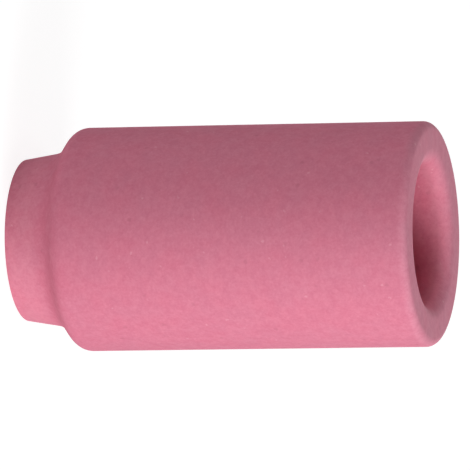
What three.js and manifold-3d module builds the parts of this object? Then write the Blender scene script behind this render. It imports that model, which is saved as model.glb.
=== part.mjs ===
// A gas nozzle for a TIG welding torch: one piece of fired pink alumina.
//
// Millimetres, +Z up. The nozzle stands on its threaded rear collar with its mouth up: the origin
// is the centre of the rear face, and +Z is the nozzle's own axis, towards the mouth. The piece is
// a turned tube (an outline spun about the axis) with a helical groove cut into its rear bore,
// which is the coarse thread that screws onto the torch's collet body.

import * as THREE from "three";
import { mergeVertices } from "three/addons/utils/BufferGeometryUtils.js";
import Module from "manifold-3d";

// ---- driving dimensions: body and mouth ----
const LENGTH = 47.6; // rear face to mouth
const BORE_DIAMETER = 16.0; // a size 10 nozzle: ten sixteenths of an inch
const BODY_WALL = 4.7; // between the straight bore and the outside
const MOUTH_OUTER_RADIUS = 1.0;
const MOUTH_INNER_RADIUS = 1.7;

// ---- driving dimensions: rear thread ----
const THREAD_MAJOR_DIAMETER = 13.0; // half an inch, with a fired thread's clearance
const THREAD_PITCH = 2.1; // twelve turns to the inch
const THREAD_TURNS = 4; // between the countersink and the run-out
const THREAD_DEPTH_SHARE = 0.4; // depth, root and crest are shares of the pitch, as in any thread form
const THREAD_ROOT_SHARE = 0.34;
const THREAD_CREST_SHARE = 0.2;
const LEAD_IN = 0.7; // how far the 45 degree countersink opens past the thread's major radius
const RELIEF_CLEARANCE = 0.15; // how far the relief past the thread stands back from the thread
const RELIEF_LENGTH = 1.6;

// ---- driving dimensions: tapered collar and shoulder ----
const COLLAR_WALL = 2.7; // outside the thread's major radius, at the rear face
const COLLAR_LENGTH = 4.8; // rear face to the foot of the shoulder
const COLLAR_TAPER = 9.2; // degrees between the collar and the axis: it wedges into the torch's seal
const SHOULDER_ANGLE = 55; // degrees between the shoulder's slope and the axis
const REAR_EDGE_RADIUS = 0.1;
const SHOULDER_FOOT_RADIUS = 2.5;
const SHOULDER_TOP_RADIUS = 1.8;

// ---- driving dimensions: flare from thread to bore ----
const FLARE_ANGLE = 30; // degrees between the flare and the axis
const FLARE_FOOT_RADIUS = 1.0;
const FLARE_TOP_RADIUS = 3.0;

// ---- smoothness of the faceted solid ----
const FACETS = 60; // around the axis
const ARC_STEP = 22.5; // degrees of turn in one straight step of a rounded corner

function tangent(degrees) {
  return Math.tan(THREE.MathUtils.degToRad(degrees));
}

// The length along the axis that a cone of this angle needs between two radii.
function coneLength(radiusA, radiusB, degrees) {
  return Math.abs(radiusA - radiusB) / tangent(degrees);
}

// ---- what follows from the driving dimensions: radii ----
const BORE_RADIUS = BORE_DIAMETER / 2;
const BODY_RADIUS = BORE_RADIUS + BODY_WALL;
const THREAD_DEPTH = THREAD_PITCH * THREAD_DEPTH_SHARE;
const THREAD_MAJOR_RADIUS = THREAD_MAJOR_DIAMETER / 2;
const THREAD_MINOR_RADIUS = THREAD_MAJOR_RADIUS - THREAD_DEPTH;
const COUNTERSINK_RADIUS = THREAD_MAJOR_RADIUS + LEAD_IN;
const RELIEF_RADIUS = THREAD_MAJOR_RADIUS + RELIEF_CLEARANCE;
const COLLAR_REAR_RADIUS = THREAD_MAJOR_RADIUS + COLLAR_WALL;
const COLLAR_FRONT_RADIUS = COLLAR_REAR_RADIUS + COLLAR_LENGTH * tangent(COLLAR_TAPER);

// ---- what follows from the driving dimensions: heights above the rear face ----
const COUNTERSINK_TOP = coneLength(COUNTERSINK_RADIUS, THREAD_MINOR_RADIUS, 45);
const THREAD_TOP = COUNTERSINK_TOP + THREAD_TURNS * THREAD_PITCH;
const RELIEF_FOOT = THREAD_TOP + coneLength(RELIEF_RADIUS, THREAD_MINOR_RADIUS, 45);
const RELIEF_TOP = RELIEF_FOOT + RELIEF_LENGTH;
const FLARE_TOP = RELIEF_TOP + coneLength(BORE_RADIUS, RELIEF_RADIUS, FLARE_ANGLE);
const SHOULDER_TOP = COLLAR_LENGTH + coneLength(BODY_RADIUS, COLLAR_FRONT_RADIUS, SHOULDER_ANGLE);

// The points of a closed outline whose corners are [x, y, fillet radius]. A fillet stays within
// the nearer half of each side that it joins.
function roundedOutline(corners) {
  const outline = [];
  corners.forEach(([x, y, fillet], i) => {
    const corner = new THREE.Vector2(x, y);
    if (!fillet) {
      outline.push(corner);
      return;
    }
    const [beforeX, beforeY] = corners.at(i - 1);
    const [afterX, afterY] = corners[(i + 1) % corners.length];
    const before = new THREE.Vector2(beforeX, beforeY).sub(corner);
    const after = new THREE.Vector2(afterX, afterY).sub(corner);
    const room = Math.min(before.length(), after.length()) / 2;
    before.normalize();
    after.normalize();
    const halfAngle = Math.acos(before.dot(after)) / 2;
    const reach = Math.min(fillet / Math.tan(halfAngle), room);
    const toCentre = reach / Math.cos(halfAngle);
    const centre = before.clone().add(after).setLength(toCentre).add(corner);
    const start = before.clone().setLength(reach).add(corner).sub(centre);
    const end = after.clone().setLength(reach).add(corner).sub(centre);
    const turn = Math.atan2(start.cross(end), start.dot(end));
    const steps = Math.ceil(Math.abs(THREE.MathUtils.radToDeg(turn)) / ARC_STEP);
    for (let step = 0; step <= steps; step++) {
      const arm = start.clone().rotateAround(new THREE.Vector2(), (turn * step) / steps);
      outline.push(arm.add(centre));
    }
  });
  return outline;
}

// The turned tube: up the outside from the rear face, over the mouth, and down the inside.
function turnedTube() {
  const outline = roundedOutline([
    [COLLAR_REAR_RADIUS, 0, REAR_EDGE_RADIUS],
    [COLLAR_FRONT_RADIUS, COLLAR_LENGTH, SHOULDER_FOOT_RADIUS],
    [BODY_RADIUS, SHOULDER_TOP, SHOULDER_TOP_RADIUS],
    [BODY_RADIUS, LENGTH, MOUTH_OUTER_RADIUS],
    [BORE_RADIUS, LENGTH, MOUTH_INNER_RADIUS],
    [BORE_RADIUS, FLARE_TOP, FLARE_TOP_RADIUS],
    [RELIEF_RADIUS, RELIEF_TOP, FLARE_FOOT_RADIUS],
    [RELIEF_RADIUS, RELIEF_FOOT, 0],
    [THREAD_MINOR_RADIUS, THREAD_TOP, 0],
    [THREAD_MINOR_RADIUS, COUNTERSINK_TOP, 0],
    [COUNTERSINK_RADIUS, 0, 0],
  ]);
  outline.push(outline[0].clone());
  return new THREE.LatheGeometry(outline, FACETS).rotateX(Math.PI / 2);
}

// The thread's groove as a solid: its section, swept up a right-handed helix. It starts below the
// rear face and ends in the relief, so that neither end leaves a step in the thread.
function threadGroove() {
  const rootHalf = (THREAD_PITCH * THREAD_ROOT_SHARE) / 2;
  const openHalf = (THREAD_PITCH * (1 - THREAD_CREST_SHARE)) / 2;
  const innerRadius = THREAD_MINOR_RADIUS - THREAD_DEPTH; // in the open bore, clear of the crests
  const section = [
    [innerRadius, -openHalf],
    [THREAD_MINOR_RADIUS, -openHalf],
    [THREAD_MAJOR_RADIUS, -rootHalf],
    [THREAD_MAJOR_RADIUS, rootHalf],
    [THREAD_MINOR_RADIUS, openHalf],
    [innerRadius, openHalf],
  ];
  const lowest = -THREAD_PITCH;
  const highest = RELIEF_FOOT + openHalf;
  const steps = Math.ceil(((highest - lowest) / THREAD_PITCH) * FACETS);
  const points = [];
  for (let step = 0; step <= steps; step++) {
    const angle = (2 * Math.PI * step) / FACETS;
    const height = lowest + (THREAD_PITCH * step) / FACETS;
    section.forEach(([radius, offset]) => {
      points.push(radius * Math.cos(angle), radius * Math.sin(angle), height + offset);
    });
  }
  const count = section.length;
  const faces = [];
  for (let step = 0; step < steps; step++) {
    for (let i = 0; i < count; i++) {
      const near = step * count + i;
      const beside = step * count + ((i + 1) % count);
      faces.push(near, near + count, beside);
      faces.push(beside, near + count, beside + count);
    }
  }
  const last = steps * count;
  for (let i = 1; i < count - 1; i++) {
    faces.push(0, i, i + 1);
    faces.push(last, last + i + 1, last + i);
  }
  const geometry = new THREE.BufferGeometry();
  geometry.setAttribute("position", new THREE.Float32BufferAttribute(points, 3));
  geometry.setIndex(faces);
  return geometry;
}

const wasm = await Module();
wasm.setup();

function toSolid(geometry) {
  const bare = geometry.clone();
  bare.deleteAttribute("normal");
  bare.deleteAttribute("uv");
  const merged = mergeVertices(bare);
  const vertProperties = merged.attributes.position.array;
  const triVerts = new Uint32Array(merged.index.array);
  return new wasm.Manifold(new wasm.Mesh({ numProp: 3, vertProperties, triVerts }));
}

function toGeometry(solid) {
  const { vertProperties, triVerts } = solid.getMesh();
  const geometry = new THREE.BufferGeometry();
  geometry.setAttribute("position", new THREE.BufferAttribute(vertProperties, 3));
  geometry.setIndex(new THREE.BufferAttribute(triVerts, 1));
  geometry.computeVertexNormals();
  return geometry;
}

const pinkAlumina = new THREE.MeshStandardMaterial({
  color: new THREE.Color(0.66, 0.2, 0.285),
  roughness: 0.6,
  metalness: 0,
});

function gasNozzle() {
  const solid = toSolid(turnedTube()).subtract(toSolid(threadGroove()));
  const mesh = new THREE.Mesh(toGeometry(solid), pinkAlumina);
  mesh.name = "gas_nozzle";
  return mesh;
}

const torchNozzle = new THREE.Group();
torchNozzle.add(gasNozzle());

export default torchNozzle;
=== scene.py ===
"""A pink alumina gas nozzle of a TIG welding torch, standing on its rear collar.

The photograph was taken of a standing nozzle and then turned a quarter turn clockwise, so the camera
here is rolled by the same quarter turn: the mouth is at the right of the picture, and the side of the
nozzle that faces +X is at its bottom.
"""

import math

import bpy
from mathutils import Matrix, Vector, noise

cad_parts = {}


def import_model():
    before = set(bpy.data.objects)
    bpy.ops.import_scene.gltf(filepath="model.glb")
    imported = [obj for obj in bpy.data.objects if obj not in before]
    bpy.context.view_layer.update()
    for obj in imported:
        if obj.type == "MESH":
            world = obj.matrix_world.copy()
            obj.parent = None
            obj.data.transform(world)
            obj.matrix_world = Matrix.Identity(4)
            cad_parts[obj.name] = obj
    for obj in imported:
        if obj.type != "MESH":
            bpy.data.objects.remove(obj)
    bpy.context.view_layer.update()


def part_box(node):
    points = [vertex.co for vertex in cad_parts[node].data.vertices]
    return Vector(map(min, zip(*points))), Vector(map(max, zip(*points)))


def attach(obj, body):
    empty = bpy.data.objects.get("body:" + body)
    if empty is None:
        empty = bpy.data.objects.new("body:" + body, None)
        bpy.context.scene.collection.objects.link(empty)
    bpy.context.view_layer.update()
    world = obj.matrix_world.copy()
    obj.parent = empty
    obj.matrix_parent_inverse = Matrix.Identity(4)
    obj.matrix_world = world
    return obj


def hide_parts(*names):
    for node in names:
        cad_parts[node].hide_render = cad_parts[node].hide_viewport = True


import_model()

MM = 0.001
NODE = "gas_nozzle"
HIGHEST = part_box(NODE)[1]

# ---- sizes in metres, the same as the solid's ----
LENGTH = HIGHEST.z
BODY_RADIUS = HIGHEST.x
BORE_RADIUS = 8.0 * MM
MOUTH_OUTER_ROUND = 1.0 * MM
MOUTH_INNER_ROUND = 1.7 * MM
THREAD_MAJOR_RADIUS = 6.5 * MM
THREAD_PITCH = 2.1 * MM
THREAD_TURNS = 4
THREAD_DEPTH = 0.4 * THREAD_PITCH
THREAD_ROOT_HALF = 0.17 * THREAD_PITCH
THREAD_OPEN_HALF = 0.4 * THREAD_PITCH
THREAD_MINOR_RADIUS = THREAD_MAJOR_RADIUS - THREAD_DEPTH
COUNTERSINK_RADIUS = THREAD_MAJOR_RADIUS + 0.7 * MM
RELIEF_RADIUS = THREAD_MAJOR_RADIUS + 0.15 * MM
RELIEF_LENGTH = 1.6 * MM
COLLAR_REAR_RADIUS = THREAD_MAJOR_RADIUS + 2.7 * MM
COLLAR_LENGTH = 4.8 * MM
COLLAR_TAPER = math.radians(9.2)
SHOULDER_ANGLE = math.radians(55)
REAR_EDGE_ROUND = 0.1 * MM
SHOULDER_FOOT_ROUND = 2.5 * MM
SHOULDER_TOP_ROUND = 1.8 * MM
FLARE_ANGLE = math.radians(30)
FLARE_FOOT_ROUND = 1.0 * MM
FLARE_TOP_ROUND = 3.0 * MM

COLLAR_FRONT_RADIUS = COLLAR_REAR_RADIUS + COLLAR_LENGTH * math.tan(COLLAR_TAPER)
SHOULDER_TOP = COLLAR_LENGTH + (BODY_RADIUS - COLLAR_FRONT_RADIUS) / math.tan(SHOULDER_ANGLE)
COUNTERSINK_TOP = COUNTERSINK_RADIUS - THREAD_MINOR_RADIUS
THREAD_TOP = COUNTERSINK_TOP + THREAD_TURNS * THREAD_PITCH
RELIEF_FOOT = THREAD_TOP + RELIEF_RADIUS - THREAD_MINOR_RADIUS
RELIEF_TOP = RELIEF_FOOT + RELIEF_LENGTH
FLARE_TOP = RELIEF_TOP + (BORE_RADIUS - RELIEF_RADIUS) / math.tan(FLARE_ANGLE)

# ---- what the fired surface adds to the solid's shape ----
THREAD_ROUND = 0.12 * MM
COUNTERSINK_ROUND = 0.2 * MM
WAVINESS = 0.02 * MM
WAVE_LENGTH = 9 * MM
WAVE_HEIGHT_SCALE = 0.6  # the waves are longer along the axis than around it

# ---- fineness of the mesh ----
COLUMNS = 192
ARC_STEP = math.radians(8)
FEWEST_ARC_STEPS = 4
ROW_STEP = 0.5 * MM
THREAD_ROW_STEP = 0.08 * MM
HEIGHT_SLACK = 0.1 * MM  # keeps the thread's last row among the fine ones


# ---- the nozzle's mesh ----
def rounded_outline(corners):
    """The closed outline through corners (radius, height, rounding), with arcs at the rounded ones."""
    outline = []
    for i, (x, y, rounding) in enumerate(corners):
        corner = Vector((x, y))
        if not rounding:
            outline.append(corner)
            continue
        before = Vector(corners[i - 1][:2]) - corner
        after = Vector(corners[(i + 1) % len(corners)][:2]) - corner
        before.normalize()
        after.normalize()
        half = before.angle(after) / 2
        reach = rounding / math.tan(half)
        centre = corner + (before + after).normalized() * (rounding / math.sin(half))
        start = corner + before * reach - centre
        end = corner + after * reach - centre
        turn = math.atan2(start.x * end.y - start.y * end.x, start.dot(end))
        steps = max(FEWEST_ARC_STEPS, math.ceil(abs(turn) / ARC_STEP))
        for step in range(steps + 1):
            arm = Matrix.Rotation(turn * step / steps, 2) @ start
            outline.append(centre + arm)
    return outline


def resampled(outline):
    """The outline with its long straight runs cut into steps, which are fine along the thread."""
    rows = []
    for i, point in enumerate(outline):
        ahead = outline[(i + 1) % len(outline)]
        inside = max(point.x, ahead.x) < COUNTERSINK_RADIUS
        in_thread = inside and max(point.y, ahead.y) <= RELIEF_FOOT + HEIGHT_SLACK
        step = THREAD_ROW_STEP if in_thread else ROW_STEP
        count = max(1, math.ceil((ahead - point).length / step))
        rows.extend(point.lerp(ahead, k / count) for k in range(count))
    return rows


def soft_max(a, b, width):
    """The larger of the two, with a rounded change from one to the other."""
    return (a + b + math.hypot(a - b, width)) / 2


def groove_radius(height, angle):
    """The radius of the thread's right-handed groove, and just inside the crests between its turns."""
    turns = height / THREAD_PITCH - angle / (2 * math.pi)
    offset = abs(turns - round(turns)) * THREAD_PITCH
    depth = (THREAD_OPEN_HALF - offset) / (THREAD_OPEN_HALF - THREAD_ROOT_HALF)
    depth = min(1, max(0, depth))
    eased = depth * depth * (3 - 2 * depth)
    return THREAD_MINOR_RADIUS - THREAD_ROUND + (THREAD_DEPTH + THREAD_ROUND) * eased


def pressed_radius(radius, height, angle):
    """The radius with the faint unevenness of a pressed and fired tube: never more than the true one."""
    place = Vector((radius * math.cos(angle), radius * math.sin(angle), height * WAVE_HEIGHT_SCALE))
    return radius - WAVINESS * (0.5 + 0.5 * noise.noise(place / WAVE_LENGTH))


def nozzle_mesh():
    outline = resampled(rounded_outline([
        (COLLAR_REAR_RADIUS, 0, REAR_EDGE_ROUND),
        (COLLAR_FRONT_RADIUS, COLLAR_LENGTH, SHOULDER_FOOT_ROUND),
        (BODY_RADIUS, SHOULDER_TOP, SHOULDER_TOP_ROUND),
        (BODY_RADIUS, LENGTH, MOUTH_OUTER_ROUND),
        (BORE_RADIUS, LENGTH, MOUTH_INNER_ROUND),
        (BORE_RADIUS, FLARE_TOP, FLARE_TOP_ROUND),
        (RELIEF_RADIUS, RELIEF_TOP, FLARE_FOOT_ROUND),
        (RELIEF_RADIUS, RELIEF_FOOT, 0),
        (THREAD_MINOR_RADIUS, THREAD_TOP, 0),
        (THREAD_MINOR_RADIUS, COUNTERSINK_TOP, 0),
        (COUNTERSINK_RADIUS, 0, COUNTERSINK_ROUND),
    ]))
    angles = [2 * math.pi * column / COLUMNS for column in range(COLUMNS)]
    points = []
    for radius, height in outline:
        threaded = radius < COUNTERSINK_RADIUS and height < RELIEF_TOP
        for angle in angles:
            if threaded:
                here = soft_max(radius, groove_radius(height, angle), THREAD_ROUND)
            else:
                here = pressed_radius(radius, height, angle)
            points.append((here * math.cos(angle), here * math.sin(angle), height))
    faces = []
    rows = len(outline)
    for row in range(rows):
        above = (row + 1) % rows
        for column in range(COLUMNS):
            beside = (column + 1) % COLUMNS
            faces.append((
                row * COLUMNS + column,
                row * COLUMNS + beside,
                above * COLUMNS + beside,
                above * COLUMNS + column,
            ))
    mesh = bpy.data.meshes.new("gas_nozzle_fine")
    mesh.from_pydata(points, [], faces)
    mesh.validate()
    mesh.shade_smooth()
    return mesh


# ---- the ceramic: colours ----
RED_PINK = (0.702, 0.18, 0.27, 1)
GREY_PINK = (0.634, 0.216, 0.306, 1)
PALE_PINK = (0.713, 0.242, 0.332, 1)
DEEP_PINK = (0.61, 0.159, 0.244, 1)
PALE_SPECK = (0.84, 0.47, 0.54, 1)
DARK_SPECK = (0.46, 0.11, 0.17, 1)
# Painted light, not the ceramic's own colour: a painted reflection and highlight at the mouth, painted
# light from below on the collar, painted shade in the bore.
PAINTED_MOUTH_SHEEN = (1.04, 1.22, 1.15, 1)  # these three multiply the colour
# Painted light from below: the collar made paler.
PAINTED_COLLAR_LIGHT = (1.07, 1.19, 1.13, 1)
# Painted shade: the inside of the bore made redder.
PAINTED_BORE_SHADE = (1.14, 1.02, 1.03, 1)

# ---- the ceramic: patterns. A spread is how far from its middle a noise still changes the colour ----
CLOUDS = {"size": 3.5 * MM, "detail": 3, "roughness": 0.6, "spread": 0.15}
MOTTLE = {"size": 0.9 * MM, "detail": 3, "roughness": 0.7, "spread": 0.14}
GRAIN = {"size": 0.3 * MM, "detail": 4, "roughness": 0.65, "spread": 0.16}
PITS = {"size": 0.45 * MM, "detail": 4, "roughness": 0.7}
PIT_DEPTH = 0.02 * MM
MOTTLE_SHARE = 0.6
GRAIN_SHARE = 0.35
PALE_SPECKS = {"spacing": 2.2 * MM, "radius": 0.2 * MM, "most": 0.3}
DARK_SPECKS = {"spacing": 2.9 * MM, "radius": 0.35 * MM, "most": 0.3}
SPECK_CORE = 0.4  # the share of a speck's radius in which it is at its most
SPECK_PUSH = 0.5 * MM
SPECK_PUSH_SIZE = 0.35 * MM

# ---- the ceramic: zones of painted light and shade, each with the place where it starts and the place where it is whole ----
MOUTH_SHEEN_ZONE = (1.1 * MM, 0.1 * MM)  # depths below the mouth's face, at the outside of the body
MOUTH_SLANT = 0.35  # how much deeper the mouth's zone reaches with each step towards the axis
COLLAR_LIGHT_ZONE = (COLLAR_LENGTH, 2.8 * MM)  # heights
BORE_SHADE_ZONE = (BORE_RADIUS + 1.1 * MM, BORE_RADIUS + 0.1 * MM)  # radii

# ---- the ceramic: gloss ----
INDEX_OF_REFRACTION = 1.5
SPECULAR_LEVEL = 0.25
ROUGHNESS = (0.82, 0.96)


def node_of(tree, kind, location, **values):
    """A new node with these properties or inputs, where an underscore stands for a space."""
    made = tree.nodes.new(kind)
    made.location = location
    for name, value in values.items():
        if hasattr(made, name):
            setattr(made, name, value)
        else:
            made.inputs[name.replace("_", " ")].default_value = value
    return made


def alumina_material():
    material = bpy.data.materials.new("pink_alumina")
    material.use_nodes = True
    tree = material.node_tree
    links = tree.links
    shader = tree.nodes["Principled BSDF"]
    shader.inputs["Metallic"].default_value = 0
    shader.inputs["IOR"].default_value = INDEX_OF_REFRACTION
    shader.inputs["Specular IOR Level"].default_value = SPECULAR_LEVEL
    place = node_of(tree, "ShaderNodeTexCoord", (-1400, 0)).outputs["Object"]

    def noise_of(location, size, detail, roughness):
        made = node_of(
            tree, "ShaderNodeTexNoise", location,
            Scale=1 / size, Detail=detail, Roughness=roughness,
        )
        links.new(place, made.inputs["Vector"])
        return made.outputs["Fac"]

    def ramp_of(location, value, low, high):
        """0 where the value is `low`, 1 where it is `high`, and even steps between."""
        made = node_of(tree, "ShaderNodeMapRange", location, From_Min=low, From_Max=high)
        links.new(value, made.inputs["Value"])
        return made.outputs["Result"]

    def pattern_of(location, size, detail, roughness, spread):
        value = noise_of(location, size, detail, roughness)
        return ramp_of((location[0] + 200, location[1]), value, 0.5 - spread, 0.5 + spread)

    def mix_of(location, factor, a, b, blend="MIX"):
        """Two colours mixed. A Mix node's sockets share their names between kinds, so each is taken
        by its place: 0 is the factor, 6 and 7 are the colours, and output 2 is the mixed one."""
        made = node_of(tree, "ShaderNodeMix", location, data_type="RGBA", blend_type=blend)
        for socket, value in ((made.inputs[0], factor), (made.inputs[6], a), (made.inputs[7], b)):
            if isinstance(value, bpy.types.NodeSocket):
                links.new(value, socket)
            else:
                socket.default_value = value
        return made.outputs[2]

    # The specks' own place: the surface's, pushed about by noise, so that they aren't round.
    push = node_of(tree, "ShaderNodeTexNoise", (-1400, 900), Scale=1 / SPECK_PUSH_SIZE, Detail=2)
    links.new(place, push.inputs["Vector"])
    pushed = node_of(tree, "ShaderNodeVectorMath", (-1200, 900), operation="MULTIPLY_ADD")
    links.new(push.outputs["Color"], pushed.inputs[0])
    pushed.inputs[1].default_value = (SPECK_PUSH, SPECK_PUSH, SPECK_PUSH)
    links.new(place, pushed.inputs[2])

    def specks_of(location, spacing, radius, most):
        """Sparse spots: `most` at the middle of each, falling to 0 at its radius."""
        cells = node_of(tree, "ShaderNodeTexVoronoi", location, Scale=1 / spacing)
        links.new(pushed.outputs["Vector"], cells.inputs["Vector"])
        made = node_of(
            tree, "ShaderNodeMapRange", (location[0] + 200, location[1]),
            From_Min=radius / spacing, From_Max=SPECK_CORE * radius / spacing, To_Max=most,
        )
        links.new(cells.outputs["Distance"], made.inputs["Value"])
        return made.outputs["Result"]

    # How far a point belongs to the mouth (its rim, its face and the bore's rounded edge) and to the
    # collar, which are painted a little paler than the body, and to the bore, which is painted a little
    # redder. The mouth's paleness is a painted reflection on its face and a painted highlight on its
    # rims, the collar's paleness is painted light from below, and the bore's redness is painted shade.
    across = node_of(tree, "ShaderNodeVectorMath", (-1400, -600), operation="MULTIPLY")
    links.new(place, across.inputs[0])
    across.inputs[1].default_value = (1, 1, 0)
    from_axis = node_of(tree, "ShaderNodeVectorMath", (-1200, -600), operation="LENGTH")
    links.new(across.outputs["Vector"], from_axis.inputs[0])
    axes = node_of(tree, "ShaderNodeSeparateXYZ", (-1200, -800))
    links.new(place, axes.inputs[0])
    slanted = node_of(tree, "ShaderNodeMath", (-1000, -600), operation="MULTIPLY_ADD")
    links.new(from_axis.outputs["Value"], slanted.inputs[0])
    slanted.inputs[1].default_value = -MOUTH_SLANT
    links.new(axes.outputs["Z"], slanted.inputs[2])
    slanted_rim = LENGTH - MOUTH_SLANT * BODY_RADIUS
    mouth_ends = [slanted_rim - depth for depth in MOUTH_SHEEN_ZONE]
    mouth_sheen_mask = ramp_of((-800, -600), slanted.outputs[0], *mouth_ends)
    collar_light_mask = ramp_of((-800, -800), axes.outputs["Z"], *COLLAR_LIGHT_ZONE)
    bore_shade_mask = ramp_of((-800, -1000), from_axis.outputs["Value"], *BORE_SHADE_ZONE)

    clouds = pattern_of((-1200, 400), **CLOUDS)
    mottle = pattern_of((-1200, 650), **MOTTLE)
    grain = pattern_of((-1200, 150), **GRAIN)
    mottled = mix_of((-700, 650), mottle, DEEP_PINK, PALE_PINK)
    grained = mix_of((-700, 150), grain, DEEP_PINK, PALE_PINK)
    colour = mix_of((-700, 400), clouds, RED_PINK, GREY_PINK)
    colour = mix_of((-500, 400), MOTTLE_SHARE, colour, mottled)
    colour = mix_of((-300, 400), GRAIN_SHARE, colour, grained)
    colour = mix_of((-100, 400), specks_of((-700, 900), **PALE_SPECKS), colour, PALE_SPECK)
    colour = mix_of((100, 400), specks_of((-300, 900), **DARK_SPECKS), colour, DARK_SPECK)
    # Painted reflection and highlight: the mouth's face and rounded rims made paler.
    colour = mix_of((300, 400), mouth_sheen_mask, colour, PAINTED_MOUTH_SHEEN, "MULTIPLY")
    # Painted light from below: the collar made paler.
    colour = mix_of((500, 400), collar_light_mask, colour, PAINTED_COLLAR_LIGHT, "MULTIPLY")
    # Painted shade: the inside of the bore made redder.
    colour = mix_of((700, 400), bore_shade_mask, colour, PAINTED_BORE_SHADE, "MULTIPLY")
    links.new(colour, shader.inputs["Base Color"])

    roughness = node_of(
        tree, "ShaderNodeMapRange", (-300, 0),
        To_Min=ROUGHNESS[0], To_Max=ROUGHNESS[1],
    )
    links.new(grain, roughness.inputs["Value"])
    links.new(roughness.outputs["Result"], shader.inputs["Roughness"])

    bump = node_of(tree, "ShaderNodeBump", (-300, -250), Strength=1, Distance=PIT_DEPTH)
    links.new(noise_of((-700, -250), **PITS), bump.inputs["Height"])
    links.new(bump.outputs["Normal"], shader.inputs["Normal"])
    return material


nozzle = bpy.data.objects.new("nozzle_ceramic", nozzle_mesh())
bpy.context.scene.collection.objects.link(nozzle)
nozzle.data.materials.append(alumina_material())
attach(nozzle, "root")
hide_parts(NODE)

# ---- floor and surroundings ----
FLOOR_REACH = 1.2
FLOOR_DROP = 0.02 * MM  # clear of the rear face, so that the two don't flicker through each other
FLOOR_REFLECTANCE = 0.9
SEEN_REFLECTANCE = 0.3  # the seen floor is mostly its own glow, so that it is white with a soft shadow
SEEN_GLOW = 0.86
WORLD_LEVEL = 0.02


def grey(level):
    return (level, level, level, 1)


def seen_directly(tree):
    """1 for the rays that see, reflect or refract what they meet, and 0 for those that gather light."""
    path = node_of(tree, "ShaderNodeLightPath", (-600, 300))
    camera_or_glossy = node_of(tree, "ShaderNodeMath", (-400, 300), operation="MAXIMUM")
    tree.links.new(path.outputs["Is Camera Ray"], camera_or_glossy.inputs[0])
    tree.links.new(path.outputs["Is Glossy Ray"], camera_or_glossy.inputs[1])
    any_of_them = node_of(tree, "ShaderNodeMath", (-200, 300), operation="MAXIMUM")
    tree.links.new(camera_or_glossy.outputs[0], any_of_them.inputs[0])
    tree.links.new(path.outputs["Is Transmission Ray"], any_of_them.inputs[1])
    return any_of_them.outputs[0]


def show_by_ray(tree, gathered, seen, output_kind):
    """Gives the output `seen` to the rays that see the surface directly, and `gathered` to the others."""
    choice = node_of(tree, "ShaderNodeMixShader", (0, 0))
    tree.links.new(seen_directly(tree), choice.inputs[0])
    tree.links.new(gathered.outputs[0], choice.inputs[1])
    tree.links.new(seen.outputs[0], choice.inputs[2])
    output = node_of(tree, output_kind, (200, 0))
    tree.links.new(choice.outputs[0], output.inputs["Surface"])


def floor_material():
    material = bpy.data.materials.new("white_floor")
    material.use_nodes = True
    tree = material.node_tree
    tree.nodes.clear()
    matt = node_of(tree, "ShaderNodeBsdfDiffuse", (-400, 0), Color=grey(FLOOR_REFLECTANCE))
    shadowed = node_of(tree, "ShaderNodeBsdfDiffuse", (-400, -150), Color=grey(SEEN_REFLECTANCE))
    glow = node_of(tree, "ShaderNodeEmission", (-400, -300), Strength=SEEN_GLOW)
    seen = node_of(tree, "ShaderNodeAddShader", (-200, -200))
    tree.links.new(shadowed.outputs[0], seen.inputs[0])
    tree.links.new(glow.outputs[0], seen.inputs[1])
    show_by_ray(tree, matt, seen, "ShaderNodeOutputMaterial")
    return material


def floor():
    signs = [(-1, -1), (1, -1), (1, 1), (-1, 1)]
    corners = [(x * FLOOR_REACH, y * FLOOR_REACH, -FLOOR_DROP) for x, y in signs]
    mesh = bpy.data.meshes.new("floor")
    mesh.from_pydata(corners, [], [(0, 1, 2, 3)])
    made = bpy.data.objects.new("floor", mesh)
    bpy.context.scene.collection.objects.link(made)
    made.data.materials.append(floor_material())


def world():
    made = bpy.data.worlds.new("studio")
    bpy.context.scene.world = made
    made.use_nodes = True
    tree = made.node_tree
    tree.nodes.clear()
    fill = node_of(tree, "ShaderNodeBackground", (-300, 0), Color=grey(1), Strength=WORLD_LEVEL)
    white = node_of(tree, "ShaderNodeBackground", (-300, -150), Color=grey(1), Strength=1)
    show_by_ray(tree, fill, white, "ShaderNodeOutputWorld")


floor()
world()

# ---- soft boxes: name, azimuth and elevation in degrees, level, width, height ----
LIGHTS = [
    ("key_low", 60, 10, 0.34, 0.3, 0.3),
    ("key_high", 72, 35, 0.44, 0.3, 0.3),
    ("left", -90, 6, 0.25, 0.32, 0.3),
    ("front", 10, 6, 0.375, 0.32, 0.3),
    ("back", 180, 8, 0.36, 0.32, 0.3),
    ("top", 0, 90, 0.18, 0.32, 0.32),
]
LIGHT_DISTANCE = 0.6


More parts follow.
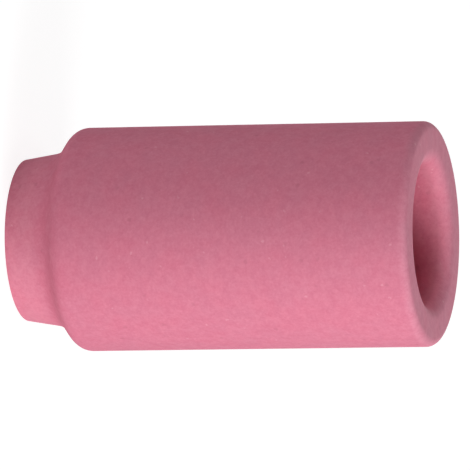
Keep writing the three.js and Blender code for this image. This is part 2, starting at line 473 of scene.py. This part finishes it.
def soft_light(name, azimuth, elevation, level, width, height):
    """A soft box aimed at the nozzle. Azimuth 0 is the camera's side and 90 is +X. At level 1 a white
    matt surface that faces the box renders about white."""
    light = bpy.data.lights.new(name, "AREA")
    light.shape = "RECTANGLE"
    light.size = width
    light.size_y = height
    light.energy = level * (math.pi * LIGHT_DISTANCE) ** 2
    made = bpy.data.objects.new(name, light)
    bpy.context.scene.collection.objects.link(made)
    a, e = math.radians(azimuth), math.radians(elevation)
    out = Vector((math.sin(a) * math.cos(e), -math.cos(a) * math.cos(e), math.sin(e)))
    made.location = Vector((0, 0, LENGTH / 2)) + out * LIGHT_DISTANCE
    made.rotation_mode = "QUATERNION"
    made.rotation_quaternion = (-out).to_track_quat("-Z", "Y")


for values in LIGHTS:
    soft_light(*values)

# ---- camera: LENS and SENSOR in millimetres, the rest in radians and metres ----
ELEVATION = math.radians(15.68)
DISTANCE = 75 * BODY_RADIUS
SENSOR = 36
LENS = 645.1
TILT = math.radians(-0.93)  # in the picture's plane, beyond the quarter turn
ASIDE = -0.0481 * BODY_RADIUS  # how far the nozzle's middle lies to the right of the picture's
DOWN = 0.0192 * BODY_RADIUS  # and how far below it
CLIP_START, CLIP_END = 0.01, 10


def camera():
    data = bpy.data.cameras.new("camera")
    data.sensor_width = SENSOR
    data.lens = LENS
    data.clip_start = CLIP_START
    data.clip_end = CLIP_END
    made = bpy.data.objects.new("camera", data)
    bpy.context.scene.collection.objects.link(made)
    forward = Vector((0, math.cos(ELEVATION), -math.sin(ELEVATION)))
    along = Vector((0, math.sin(ELEVATION), math.cos(ELEVATION)))
    across = Vector((1, 0, 0))
    right = along * math.cos(TILT) - across * math.sin(TILT)
    down = along * math.sin(TILT) + across * math.cos(TILT)
    middle = Vector((0, 0, LENGTH / 2))
    place = middle - forward * DISTANCE - right * ASIDE - down * DOWN
    turn = Matrix((right, -down, -forward)).transposed()
    made.matrix_world = Matrix.Translation(place) @ turn.to_4x4()
    bpy.context.scene.camera = made


camera()

bpy.context.scene.view_settings.view_transform = "Standard"
